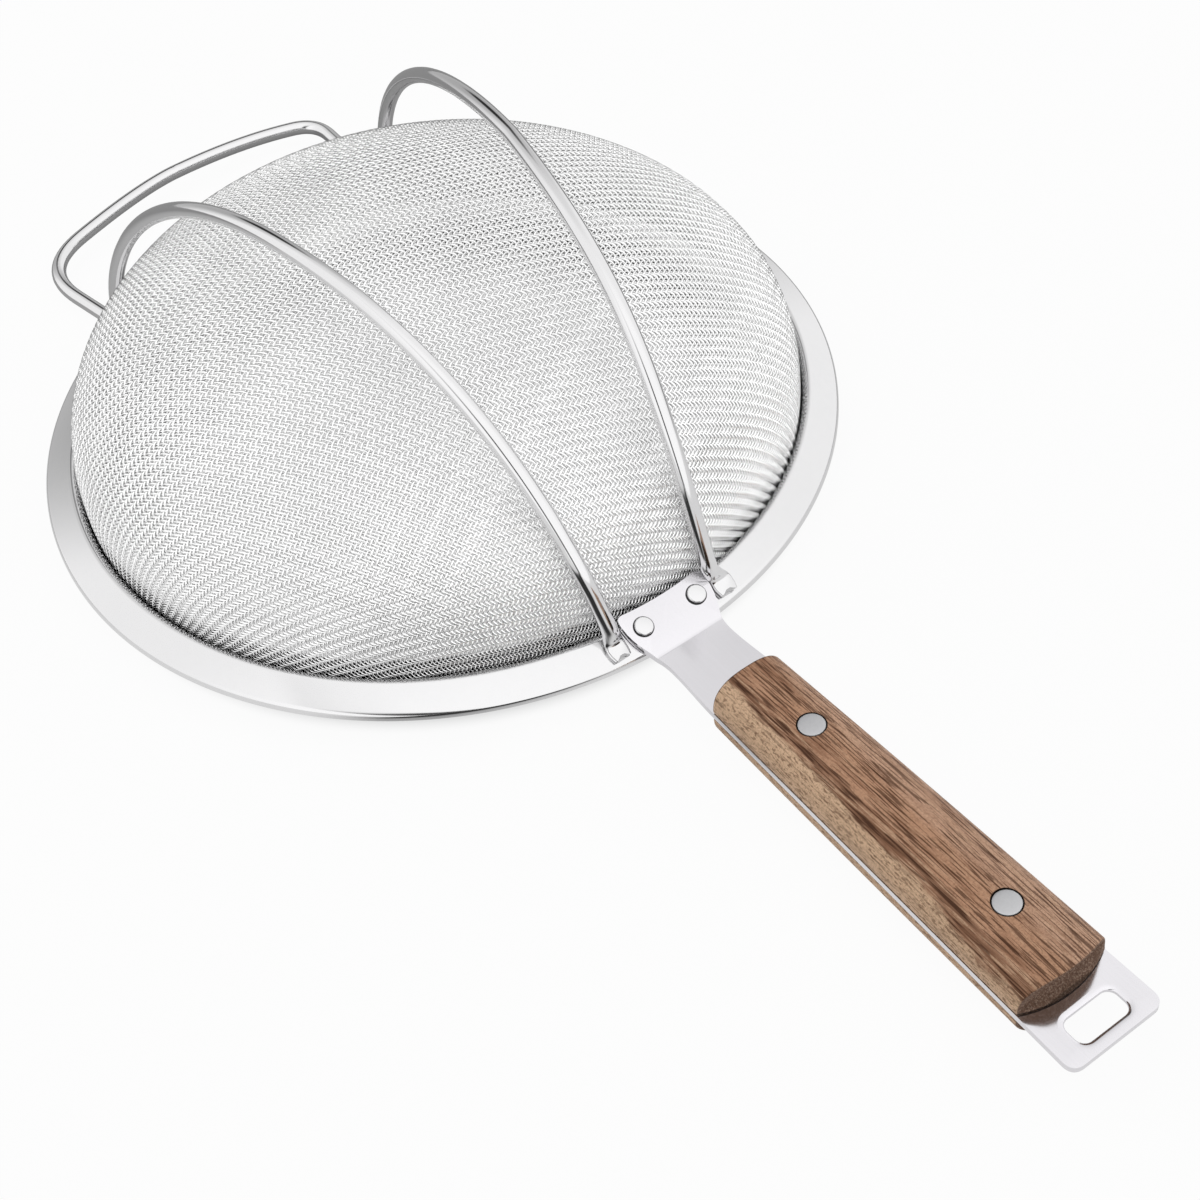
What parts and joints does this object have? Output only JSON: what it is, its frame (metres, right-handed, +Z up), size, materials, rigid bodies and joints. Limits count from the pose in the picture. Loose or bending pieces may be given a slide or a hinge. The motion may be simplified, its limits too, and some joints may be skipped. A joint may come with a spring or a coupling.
{
  "type": "fine mesh strainer",
  "caption": "Round domed strainer of fine woven steel in a sloped steel rim, with bent wire guard arms that run out into a pot rest and a flat steel handle with pinned wooden scales",
  "frame": {"origin": "Middle of the bounding box's underside, on the surface that the strainer lies on with its mouth down", "axes": "+X from the bowl along the handle to the hanging tab, +Y across it to the left seen from above with the handle pointing away, +Z up through the dome"},
  "size_m": [0.4308, 0.2282, 0.0899],
  "materials": {
    "woven_steel": "fine woven stainless wire cloth, bright on the crossings and dark in the openings",
    "polished_steel": "polished stainless steel",
    "satin_steel": "satin stainless steel sheet",
    "walnut": "oiled mid-brown hardwood with dark streaks along the grain"
  },
  "bodies": {
    "root": {"mesh_bowl": "woven_steel", "rim_flange": "polished_steel", "clamp_ring": "satin_steel", "guard_wire": "polished_steel", "handle_strap": "satin_steel", "upper_scale": "walnut", "lower_scale": "walnut", "front_pin": "satin_steel", "back_pin": "satin_steel", "left_rivet": "polished_steel", "right_rivet": "polished_steel"}
  },
  "joints": []
}
